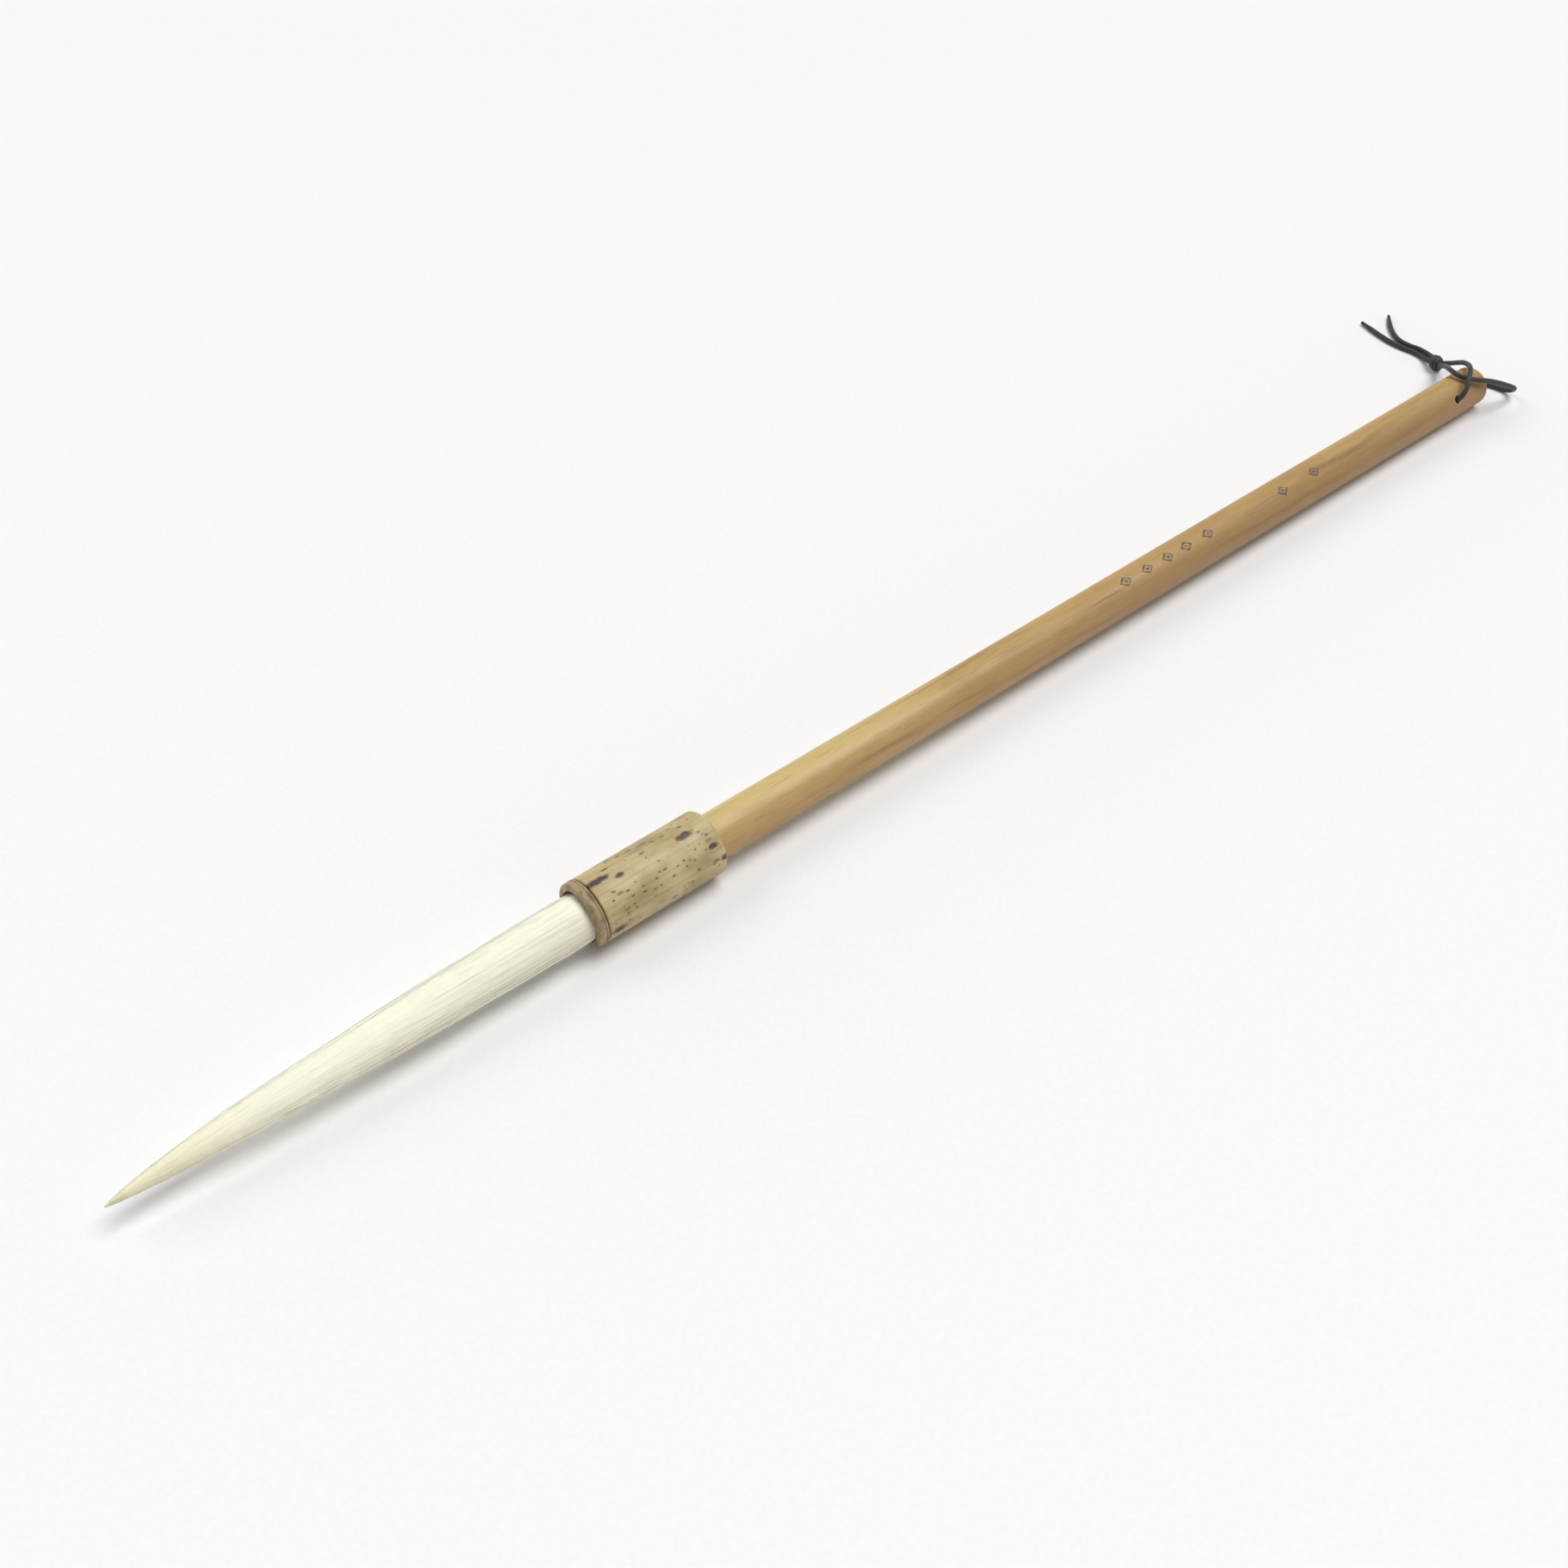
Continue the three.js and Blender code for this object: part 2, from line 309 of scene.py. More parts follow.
def handle_bamboo():
    """Pale plain bamboo: greener-yellow by the ferrule, browner towards the hanging end, with painted
    shade on its near side.
    """
    paint = Paint("handle_bamboo")
    place = paint.place()
    along = paint.axis(place, "X")
    fine = lengthwise_grain(paint, place, 5200)
    broad = lengthwise_grain(paint, place, 900)
    cloud = paint.noise(paint.stretch(place, (0.35, 1, 1)), 120, detail=4)
    straw, honey = srgb(0xCFB878), srgb(0xB7945B)
    # Painted shade: darker copies of the colours for the near side, deeper towards the hanging end
    shaded_straw, shaded_honey = srgb(0xB18B59), srgb(0x967349)
    base = paint.mix(paint.ramp(along, 0.14, 0.25), straw, honey)
    painted_shade = paint.mix(paint.ramp(along, 0.16, 0.3), shaded_straw, shaded_honey)
    # Painted shade over the near half of the culm, strongest along its nearest line
    near_side_shade = paint.ramp(paint.axis(place, "Y"), -0.0046, 0.0, 0.8, 0)
    base = paint.mix(near_side_shade, base, painted_shade)
    brown_cloud, brown_band, brown_fibre = srgb(0xA5814C), srgb(0x997544), srgb(0x8E6C3C)
    base = paint.mix(paint.ramp(cloud, 0.42, 0.72, 0, 0.5), base, brown_cloud)
    base = paint.mix(paint.ramp(broad, 0.5, 0.75, 0, 0.35), base, brown_band)
    base = paint.mix(paint.ramp(fine, 0.45, 0.8, 0, 0.3), base, brown_fibre)
    flecks = paint.noise(paint.stretch(place, (0.1, 1, 1)), 1900, detail=5, roughness=0.65)
    dark_fleck, pale_fleck = srgb(0x8A683C), srgb(0xD8BC82)
    base = paint.mix(paint.ramp(flecks, 0.52, 0.72, 0, 0.35), base, dark_fleck)
    base = paint.mix(paint.ramp(flecks, 0.48, 0.3, 0, 0.12), base, pale_fleck)
    stain, flesh, ink = srgb(0x754F26), srgb(0xCDAE78), srgb(0x45423A)
    broken = paint.math("MULTIPLY", paint.attribute("stain"), paint.ramp(broad, 0.3, 0.6))
    base = paint.mix(broken, base, stain)
    base = paint.mix(paint.attribute("raw"), base, flesh)
    base = paint.mix(paint.attribute("ink"), base, ink)
    roughness = paint.ramp(cloud, 0.3, 0.8, 0.5, 0.62)
    normal = paint.bump(fine, 0.00004, 0.35)
    gloss = {"Coat_Weight": 0.1, "Coat_Roughness": 0.1, "Specular_IOR_Level": 0.42}
    return paint.surface(base, roughness, normal, **gloss)


def mottled_bamboo():
    """Grey-tan bamboo with dark spots, from specks to lens-shaped blotches."""
    paint = Paint("mottled_bamboo")
    place = paint.place()
    fine = lengthwise_grain(paint, place, 5200)
    broad = lengthwise_grain(paint, place, 1100)
    cloud = paint.noise(paint.stretch(place, (0.5, 1, 1)), 240, detail=4)
    straw, drab, band, fibre = srgb(0xC6B283), srgb(0xA89263), srgb(0x8A7554), srgb(0x776449)
    base = paint.mix(paint.ramp(cloud, 0.35, 0.7), straw, drab)
    base = paint.mix(paint.ramp(broad, 0.48, 0.72, 0, 0.38), base, band)
    base = paint.mix(paint.ramp(fine, 0.42, 0.78, 0, 0.32), base, fibre)
    distance, colour = paint.dots(paint.stretch(place, (0.45, 1, 1)), 620)
    size = paint.ramp(paint.axis(colour, "X"), 0.5, 1.0, 0.0, 0.36)
    speck = paint.math("SUBTRACT", size, distance)
    speck_brown, spot_brown = srgb(0x6A5432), srgb(0x5C472C)
    rim_brown, blotch_black = srgb(0x6E5540), srgb(0x40333A)
    base = paint.mix(paint.ramp(speck, 0.0, 0.16, 0, 0.65), base, speck_brown)
    patches = paint.noise(paint.stretch(place, (0.5, 1, 1)), 2600, detail=3)
    patchy = paint.ramp(patches, 0.3, 0.7, 0.8, 1.3)
    spot = paint.math("MULTIPLY", paint.attribute("spot"), patchy)
    blotch = paint.math("MULTIPLY", paint.attribute("blotch"), patchy)
    base = paint.mix(paint.ramp(spot, 0.0, 1.15, 0, 0.85), base, spot_brown)
    base = paint.mix(paint.ramp(blotch, 0.0, 0.5, 0, 0.6), base, rim_brown)
    base = paint.mix(paint.ramp(blotch, 0.3, 1.0, 0, 0.92), base, blotch_black)
    roughness = paint.ramp(cloud, 0.3, 0.8, 0.46, 0.6)
    normal = paint.bump(fine, 0.00006, 0.5)
    return paint.surface(base, roughness, normal, Coat_Weight=0.04, Coat_Roughness=0.3)


def turned_wood(name="turned_wood", light=0xA58F6B, dark=0x7D6748):
    """Close-grained wood with soft clouds of a darker shade."""
    paint = Paint(name)
    place = paint.place()
    fine = paint.noise(paint.stretch(place, (0.4, 1, 1)), 3800, detail=5, roughness=0.6)
    broad = paint.noise(place, 500, detail=4)
    pore = srgb(0x6B5236)
    colour = paint.mix(paint.ramp(broad, 0.35, 0.7), srgb(light), srgb(dark))
    colour = paint.mix(paint.ramp(fine, 0.5, 0.8, 0, 0.45), colour, pore)
    normal = paint.bump(fine, 0.00005, 0.5)
    return paint.surface(colour, paint.ramp(broad, 0.3, 0.8, 0.42, 0.58), normal)


def cut_bamboo():
    """The end grain of the culm: dark dots of fibre in paler flesh."""
    paint = Paint("cut_bamboo")
    place = paint.place()
    distance, _ = paint.dots(paint.stretch(place, (0.05, 1, 1)), 2400)
    fibre, flesh = srgb(0x8A6334), srgb(0xD0AF74)
    colour = paint.mix(paint.ramp(distance, 0.12, 0.4), fibre, flesh)
    normal = paint.bump(distance, 0.00005, 0.6)
    return paint.surface(colour, 0.6, normal)


def goat_hair(name, light=0xFFFFEA, dark=0xFBF7DB):
    """Cream hair. Each strand has a shade of its own, and the last stretch to the tip is yellower."""
    paint = Paint(name)
    shade = paint.attribute("shade")
    tip = paint.attribute("tip")
    tan_and_shade, tip_yellow = srgb(0xC4B594), srgb(0xFDF5CC)
    colour = paint.mix(paint.ramp(shade, 0.3, 0.8), srgb(dark), srgb(light))
    # Tan hairs and painted shade: low shades, given mostly to strands on the lower near side, turn tan
    colour = paint.mix(paint.ramp(shade, 0.4, 0.0), colour, tan_and_shade)
    colour = paint.mix(paint.ramp(tip, 0.6, 1.0, 0, 0.7), colour, tip_yellow)
    fine = paint.noise(paint.stretch(paint.place(), (0.02, 1, 1)), 6000, detail=3)
    normal = paint.bump(fine, 0.00005, 0.4)
    return paint.surface(colour, 0.5, normal, Sheen_Weight=0.15, Sheen_Roughness=0.5)


def waxed_cord():
    """Dark brown waxed leather lace with a fine grain and paler scuffs here and there."""
    paint = Paint("waxed_cord")
    place = paint.place()
    grain = paint.noise(place, 5200, detail=5, roughness=0.65)
    scuff = paint.noise(place, 900, detail=4, roughness=0.6)
    hollow, lace, scuffed = srgb(0x272223), srgb(0x352E2E), srgb(0x564A47)
    colour = paint.mix(paint.ramp(grain, 0.35, 0.7), hollow, lace)
    colour = paint.mix(paint.ramp(scuff, 0.5, 0.8, 0, 0.5), colour, scuffed)
    normal = paint.bump(grain, 0.00012, 0.7)
    return paint.surface(colour, paint.ramp(scuff, 0.3, 0.8, 0.42, 0.6), normal)


def bound_hair():
    """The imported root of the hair, hidden in the ferrule."""
    paint = Paint("bound_hair")
    fibre = lengthwise_grain(paint, paint.place(), 4000)
    colour = paint.mix(paint.ramp(fibre, 0.35, 0.7), srgb(0xC9BE98), srgb(0xEDE6C8))
    return paint.surface(colour, 0.7, paint.bump(fibre, 0.0001, 0.8))


def binding_thread():
    """Undyed thread with a fine fibre."""
    paint = Paint("binding_thread")
    fibre = paint.noise(paint.place(), 6000, detail=3)
    colour = paint.mix(paint.ramp(fibre, 0.35, 0.7), srgb(0xD8CCA8), srgb(0xF0E8D0))
    return paint.surface(colour, 0.8, paint.bump(fibre, 0.0001, 0.8))


def rosin():
    """Glossy brown rosin."""
    paint = Paint("rosin")
    cloud = paint.noise(paint.place(), 700, detail=3)
    colour = paint.mix(paint.ramp(cloud, 0.3, 0.7), srgb(0x6E4015), srgb(0x9A6428))
    return paint.surface(colour, 0.2, Coat_Weight=0.4)


# --------------------------------------------------------------------------------------------------
# Mesh helpers


def show(name, mesh, material, body=None, placed=True):
    """Adds a piece that rides on a body. One made in the brush's own frame is placed as it lies."""
    mesh.materials.append(material)
    piece = bpy.data.objects.new(name, mesh)
    if placed:
        piece.matrix_world = BRUSH
    bpy.context.scene.collection.objects.link(piece)
    if body:
        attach(piece, body)
    return piece


def soften(mesh, sharp_angle):
    """Smooth shading, with the edges kept sharp where faces meet at more than an angle in degrees."""
    shape = bmesh.new()
    shape.from_mesh(mesh)
    for face in shape.faces:
        face.smooth = True
    for edge in shape.edges:
        edge.smooth = len(edge.link_faces) == 2 and edge.calc_face_angle(0) < math.radians(sharp_angle)
    shape.to_mesh(mesh)
    shape.free()


def arc(along, radius, rounding, start, end, steps):
    """Points of a rounded edge about its centre, as (along, radius). 0 degrees is outwards."""
    turns = [math.radians(start + (end - start) * i / steps) for i in range(steps + 1)]
    return [(along + rounding * math.sin(t), radius + rounding * math.cos(t)) for t in turns]


def spread(start, end, step):
    """Distances from start to end, about a step apart."""
    count = max(1, round((end - start) / step))
    return [start + (end - start) * i / count for i in range(count + 1)]


def tube_faces(rings, sides, start=0, closed=False):
    """Quads that join rings of points in turn. A closed tube joins its last ring to its first."""
    faces = []
    for i in range(rings if closed else rings - 1):
        here, there = start + i * sides, start + (i + 1) % rings * sides
        for k in range(sides):
            k2 = (k + 1) % sides
            faces.append((here + k, here + k2, there + k2, there + k))
    return faces


def cap_faces(ring, sides, pole):
    """Triangles that join a ring of points to one more point."""
    return [(ring + k, ring + (k + 1) % sides, pole) for k in range(sides)]


def solid(name, points, faces):
    """A mesh that closes on itself, with every face turned to look out of it. Points are in metres."""
    mesh = bpy.data.meshes.new(name)
    mesh.from_pydata(points, [], faces)
    shape = bmesh.new()
    shape.from_mesh(mesh)
    bmesh.ops.recalc_face_normals(shape, faces=shape.faces)
    shape.to_mesh(mesh)
    shape.free()
    return mesh


def revolve(name, profile, segments, push=None, closed=True):
    """A turned mesh from (along, radius) points in millimetres.

    A closed profile is a ring; an open one starts and ends on the axis. push(along, angle) says how far
    a point is moved outwards.
    """
    turned = profile if closed else profile[1:-1]
    points = []
    for along, radius in turned:
        for k in range(segments):
            angle = 2 * math.pi * k / segments
            out = radius + (push(along, angle) if push else 0.0)
            points.append((along * MM, out * math.cos(angle) * MM, out * math.sin(angle) * MM))
    faces = tube_faces(len(turned), segments, closed=closed)
    if not closed:
        last_ring = len(points) - segments
        for ring, (along, _) in ((0, profile[0]), (last_ring, profile[-1])):
            faces += cap_faces(ring, segments, len(points))
            points.append((along * MM, 0, 0))
    return solid(name, points, faces)


def places_on(mesh):
    """Each vertex's millimetres along, degrees round (90 is the top) and millimetres from the axis."""
    flat = np.empty(len(mesh.vertices) * 3)
    mesh.vertices.foreach_get("co", flat)
    x, y, z = flat.reshape(-1, 3).T / MM
    return x, np.degrees(np.arctan2(z, y)) % 360, np.hypot(y, z)


def store(mesh, name, values):
    """Keeps a number at each vertex, for a material to read."""
    layer = mesh.attributes.new(name, "FLOAT", "POINT")
    layer.data.foreach_set("value", np.asarray(values, dtype=np.float32))


def turn_between(a, b):
    """The turn round the brush from direction b to direction a, from -180 to 180 degrees."""
    return (a - b + 180) % 360 - 180


def smooth_step(value, low, high):
    """0 up to low, 1 from high and smooth between them, for one number or for an array of them."""
    share = (value - low) / (high - low)
    share = np.clip(share, 0.0, 1.0) if isinstance(share, np.ndarray) else min(1.0, max(0.0, share))
    return share * share * (3 - 2 * share)


# --------------------------------------------------------------------------------------------------
# The ferrule: a turned ring at the mouth, and the mottled sleeve


def make_mouth_ring():
    """A ring with a full rounded lip, then a fine groove and a low bead at its back."""
    lip = 0.75
    inner_edge = 0.25
    # Groove and bead: millimetres in front of the ring's back, and out from the ferrule's outside
    back = [(0.8, 0.02), (0.65, -0.03), (0.57, -0.13), (0.49, -0.02)]
    back += [(0.38, 0.05), (0.18, 0.05), (0.06, -0.03), (0.0, -0.2)]
    profile = [
        *arc(MOUTH_AT + inner_edge, RING_BORE + inner_edge, inner_edge, 180, 270, 4),
        *arc(MOUTH_AT + lip, FERRULE_RADIUS - lip, lip, -90, 0, 10),
        *[(RING_END - before, FERRULE_RADIUS + out) for before, out in back],
        (RING_END, RING_BORE),
    ]

    def push(along, angle):
        return 0.03 * noise.noise(Vector((along * 0.4, 2.2 * math.cos(angle), 2.2 * math.sin(angle))))

    mesh = revolve("mouth_ring_turned", profile, 144, push)
    soften(mesh, 50)
    piece = show("mouth_ring_turned", mesh, turned_wood(), "brush")
    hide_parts("mouth_ring")


# Dark lens-shaped blotches and small brown spots on the sleeve: millimetres along, degrees round (90 is
# the top, 180 the near side), and half their length and half their width in millimetres.
BLOTCHES = [
    (104.6, 91, 3.4, 0.85),
    (109.1, 102, 1.3, 0.6),
    (125.0, 100, 2.2, 0.95),
    (129.0, 139, 1.2, 0.7),
    (130.9, 168, 1.3, 0.8),
    (104.6, 187, 1.9, 0.9),
    (113.4, 248, 1.8, 0.7),
    (123.6, 262, 2.4, 0.9),
    (107.8, 301, 1.5, 0.6),
    (118.9, 322, 2.1, 0.8),
    (127.5, 345, 1.2, 0.6),
    (110.2, 15, 1.9, 0.8),
    (121.3, 34, 1.1, 0.5),
]
SPOTS = [
    (115.7, 88, 0.8, 0.28),
    (125.7, 80, 0.7, 0.3),
    (123.7, 71, 0.6, 0.3),
    (117.2, 69, 1.5, 0.28),
    (119.2, 77, 0.5, 0.3),
    (111.9, 63, 0.7, 0.3),
    (107.6, 77, 1.3, 0.28),
    (117.6, 132, 0.6, 0.32),
    (116.3, 131, 0.4, 0.25),
    (118.7, 149, 0.5, 0.32),
    (124.3, 163, 0.6, 0.35),
    (122.1, 146, 0.4, 0.25),
    (121.9, 135, 0.4, 0.28),
    (128.9, 118, 0.6, 0.3),
    (125.2, 129, 0.35, 0.25),
    (108.6, 131, 0.6, 0.3),
    (111.8, 146, 0.6, 0.32),
    (106.1, 121, 0.5, 0.25),
    (105.1, 133, 0.4, 0.3),
    (109.1, 162, 0.35, 0.25),
    (115.5, 151, 0.4, 0.25),
    (115.1, 137, 0.4, 0.25),
    (117.4, 115, 0.4, 0.22),
    (127.9, 107, 0.5, 0.25),
    (120.5, 205, 0.8, 0.4),
    (117.0, 214, 0.9, 0.35),
]


def scattered_spots():
    """Fainter specks all round the sleeve, and spots on the sides of it that face away."""

    def scatter(count, *ranges):
        return [tuple(dice.uniform(low, high) for low, high in ranges) for _ in range(count)]

    specks = scatter(90, (103.5, 130.5), (0, 360), (0.25, 0.55), (0.15, 0.24))
    far_side = scatter(44, (104, 130), (200, 420), (0.4, 0.9), (0.25, 0.4))
    return specks + far_side


def inside_any(spots, along, angle, radius):
    """How far inside one of the spots each place is: 1 in the middle, 0 outside them all."""
    edge = 1.12  # how far out a spot ends, in half lengths or half widths
    steepness = 1.6
    raggedness = 0.2
    skin = 1.0  # how far under the outside the spots go, in millimetres
    deepest = np.zeros(len(along))
    for middle, around, half_length, half_width in spots:
        across = np.radians(turn_between(angle, around)) * FERRULE_RADIUS / half_width
        lengthwise = np.abs(along - middle) / half_length
        wander = raggedness * np.sin(along * 3.1 + middle) * np.sin(angle * 0.25 + around)
        depth = steepness * (edge - np.hypot(lengthwise, across)) + wander
        deepest = np.maximum(deepest, depth)
    return np.clip(deepest, 0.0, 1.0) * (radius > FERRULE_RADIUS - skin)


def make_sleeve():
    """The mottled culm, rounded at its back. Its rings are close enough to carry the spots."""
    back = 0.9
    rings = spread(SLEEVE_START + 0.35, SLEEVE_END - back - 0.15, 0.14)
    profile = [
        (SLEEVE_START, SLEEVE_BORE),
        (SLEEVE_START, FERRULE_RADIUS - 0.2),
        (SLEEVE_START + 0.1, FERRULE_RADIUS - 0.06),
        *[(along, FERRULE_RADIUS) for along in rings],
        *arc(SLEEVE_END - back, FERRULE_RADIUS - back, back, 0, 90, 8),
        (SLEEVE_END, SLEEVE_BORE + 0.1),
        (SLEEVE_END - 0.1, SLEEVE_BORE),
    ]

    def push(along, angle):
        place = Vector((along * 0.06, 1.6 * math.cos(angle), 1.6 * math.sin(angle)))
        return 0.04 * noise.noise(place) + 0.012 * noise.noise(place * 7) - 0.02

    mesh = revolve("ferrule_sleeve_culm", profile, 360, push)
    soften(mesh, 45)
    places = places_on(mesh)
    store(mesh, "spot", inside_any(SPOTS + scattered_spots(), *places))
    store(mesh, "blotch", inside_any(BLOTCHES, *places))
    piece = show("ferrule_sleeve_culm", mesh, mottled_bamboo(), "brush")
    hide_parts("ferrule_sleeve")


# --------------------------------------------------------------------------------------------------
# The handle: a slim culm with a hole across it for the cord

# Small engraved lozenges, in a group of two and a group of five: millimetres along, degrees round
LOZENGES = [
    (317.0, 110),
    (305.4, 111),
    (279.0, 107),
    (271.6, 106.5),
    (265.4, 106.5),
    (258.6, 105.5),
    (251.5, 105.5),
]
LOZENGE_LENGTH = 3.8
LOZENGE_WIDTH = 3.0
LOZENGE_DEPTH = 0.08

# Darker streaks in the bamboo: middle, degrees round, half length, half width, strength
STREAKS = [
    (331.0, 113, 20.0, 1.0, 0.7),
    (336.0, 111, 10.0, 0.4, 1.0),
    (303.0, 120, 14.0, 0.9, 0.35),
    (243.0, 116, 6.0, 0.22, 0.9),
    (246.0, 119, 4.0, 0.15, 0.7),
    (226.0, 112, 16.0, 0.5, 0.35),
    (196.0, 70, 30.0, 0.5, 0.4),
    (186.0, 158, 26.0, 0.7, 0.45),
    (160.0, 60, 20.0, 0.5, 0.3),
    (300.0, 160, 40.0, 0.9, 0.35),
    (352.0, 150, 16.0, 0.8, 0.35),
    (230.0, 170, 30.0, 0.7, 0.35),
    (262.0, 262, 45.0, 1.0, 0.4),
    (180.0, 300, 30.0, 0.8, 0.4),
    (330.0, 20, 30.0, 0.8, 0.4),
    (215.0, 350, 26.0, 0.5, 0.4),
]


def lozenge_lines(along, angle, radius):
    """1 on the lines of the lozenges, and 0 away from them. Each is a rim round a filled heart."""
    deepest = np.zeros(len(along))
    worn = 0.8 + 0.35 * np.sin(along * 2.7) * np.sin(angle * 0.31)
    for middle, around in LOZENGES:
        lengthwise = np.abs(along - middle) / (LOZENGE_LENGTH / 2)
        across = np.radians(np.abs(turn_between(angle, around))) * HANDLE_RADIUS / (LOZENGE_WIDTH / 2)
        size = lengthwise + across
        rim = 1 - smooth_step(np.abs(size - 0.8), 0.12, 0.26)
        heart = 1 - smooth_step(size, 0.22, 0.42)
        deepest = np.maximum(deepest, np.maximum(rim, heart) * worn)
    return np.clip(deepest, 0.0, 1.0) * (radius > HANDLE_RADIUS - 1)


def streaks(along, angle, radius):
    """How dark the bamboo's streaks are at each place, before the fibre breaks them up."""
    darkest = np.zeros(len(along))
    for middle, around, half_length, half_width, strength in STREAKS:
        wander = 0.35 * half_width * np.sin(along * 0.21 + middle)
        beside = np.radians(turn_between(angle, around)) * HANDLE_RADIUS + wander
        lengthwise = np.clip(np.abs(along - middle) / half_length, 0, 1)
        darkness = strength * (1 - smooth_step(np.abs(beside) / half_width, 0.1, 1.5))
        darkest = np.maximum(darkest, darkness * (1 - lengthwise**2))
    return darkest * (radius > HANDLE_RADIUS - 1)


def hole_direction():
    """From the middle of the handle out of the hole's near mouth, in the brush's own frame."""
    return Vector((0, -math.cos(HOLE_ELEVATION), math.sin(HOLE_ELEVATION)))


def bared_flesh(along, angle, radius):
    """1 where the hole's bevel bares the flesh of the bamboo."""
    turn = np.radians(angle)
    offset = np.stack([along - HOLE_AT, radius * np.cos(turn), radius * np.sin(turn)])
    axis = np.array(hole_direction())[:, None]
    away = np.linalg.norm(offset - axis * (offset * axis).sum(axis=0), axis=0)
    return 1 - smooth_step(away, HOLE_RADIUS + HOLE_BEVEL, HOLE_RADIUS + HOLE_BEVEL + 0.12)


def handle_profile():
    """The outside of the culm, with closer rings at the lozenges and the hole, and the pith's hollow."""
    rounding = 1.8
    marks_start, marks_end = 247.3, 321.0
    rings = [
        *spread(HANDLE_START + 0.5, marks_start - 0.3, 1.5),
        *spread(marks_start, marks_end, 0.2),
        *spread(marks_end + 1.0, HOLE_AT - 5.0, 1.5),
        *spread(HOLE_AT - 4.6, HOLE_AT + 4.6, 0.3),
        *spread(HOLE_AT + 5.4, HANDLE_END - rounding - 0.4, 1.0),
    ]
    return [
        (HANDLE_START, PITH_RADIUS),
        (HANDLE_START, HANDLE_RADIUS - 0.4),
        *[(along, HANDLE_RADIUS) for along in rings],
        *arc(HANDLE_END - rounding, HANDLE_RADIUS - rounding, rounding, 0, 90, 10),
        (HANDLE_END, PITH_RADIUS),
        (HOLE_AT + 4.0, PITH_RADIUS),
        (HOLE_AT - 4.0, PITH_RADIUS),
    ]


def hole_cutter():
    """A rod with a flare at each end, which makes a round hole with a bevel at both mouths."""
    rim = HANDLE_RADIUS - HOLE_BEVEL
    margin = 1.0  # how far the rod stands out of the handle
    end = HANDLE_RADIUS + margin
    flare = HOLE_RADIUS + HOLE_BEVEL + margin
    profile = [(-end, 0), (-end, flare), (-rim, HOLE_RADIUS), (rim, HOLE_RADIUS), (end, flare), (end, 0)]
    mesh = revolve("hole_cutter", profile, 48, closed=False)
    turn = hole_direction().to_track_quat("X", "Z").to_matrix().to_4x4()
    mesh.transform(Matrix.Translation((HOLE_AT * MM, 0, 0)) @ turn)
    return mesh


def cut(mesh, cutter_mesh):
    """The mesh with another one taken out of it."""
    target = bpy.data.objects.new("cut_target", mesh)
    cutter = bpy.data.objects.new("cut_tool", cutter_mesh)
    for piece in (target, cutter):
        bpy.context.scene.collection.objects.link(piece)
    modifier = target.modifiers.new("cut", "BOOLEAN")
    modifier.operation = "DIFFERENCE"
    modifier.solver = "EXACT"
    modifier.object = cutter
    bpy.context.view_layer.update()
    result = bpy.data.meshes.new_from_object(target.evaluated_get(bpy.context.evaluated_depsgraph_get()))
    for piece in (target, cutter):
        bpy.data.objects.remove(piece)
    return result


def engrave(mesh):
    """Sinks the lozenges' lines into the surface."""
    lines = lozenge_lines(*places_on(mesh))
    for vertex, line in zip(mesh.vertices, lines):
        if line > 0:
            vertex.co.yz *= 1 - LOZENGE_DEPTH * line / HANDLE_RADIUS


def make_handle():
    """The engraved culm with its hole. Its end face shows the cut fibre."""

    def push(along, angle):
        ring = Vector((along * 0.012, 1.2 * math.cos(angle), 1.2 * math.sin(angle)))
        ribs = Vector((along * 0.03, 9 * math.cos(angle), 9 * math.sin(angle)))
        return 0.05 * noise.noise(ring) + 0.010 * noise.noise(ribs)

    mesh = revolve("handle_culm", handle_profile(), 192, push)
    engrave(mesh)
    mesh = cut(mesh, hole_cutter())
    mesh.name = "handle_culm"
    soften(mesh, 35)
    places = places_on(mesh)
    store(mesh, "ink", lozenge_lines(*places))
    store(mesh, "stain", streaks(*places))
    store(mesh, "raw", bared_flesh(*places))
    piece = show("handle_culm", mesh, handle_bamboo(), "brush")
    mesh.materials.append(cut_bamboo())
    end_face = (HANDLE_END - 0.1) * MM
    for face in mesh.polygons:
        if face.normal.x > 0.96 and face.center.x > end_face:
            face.material_index = 1
    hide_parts("handle_tube")


def make_plug():
    """A small wooden plug in the hollow end of the handle, with a rounded face."""
    profile = [
        (PLUG_START, 0),
        (PLUG_START, PLUG_RADIUS - 0.4),
        (PLUG_START + 0.5, PLUG_RADIUS),
        (HANDLE_END - 0.35, PLUG_RADIUS),
        (HANDLE_END - 0.1, PLUG_RADIUS - 0.12),
        (HANDLE_END - 0.02, PLUG_RADIUS - 0.45),
        (HANDLE_END, 0.8),
        (HANDLE_END, 0),
    ]
    mesh = revolve("end_plug_turned", profile, 64, closed=False)
    soften(mesh, 40)
    piece = show("end_plug_turned", mesh, turned_wood("plug_wood", 0x9C7348, 0x6E4C2C), "brush")
    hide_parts("handle_end_plug")


# --------------------------------------------------------------------------------------------------
# The tuft

TUFT_BACK = 102.2  # where the body of hair ends inside the ring
# Shade is painted on this side too: the tuft's lower near side, turned away from the lamps
SHADE_AND_TAN_SIDE = math.radians(205)  # the side where more of the hairs are tan
SURFACE_STRANDS = 3200
STRAY_STRANDS = 40


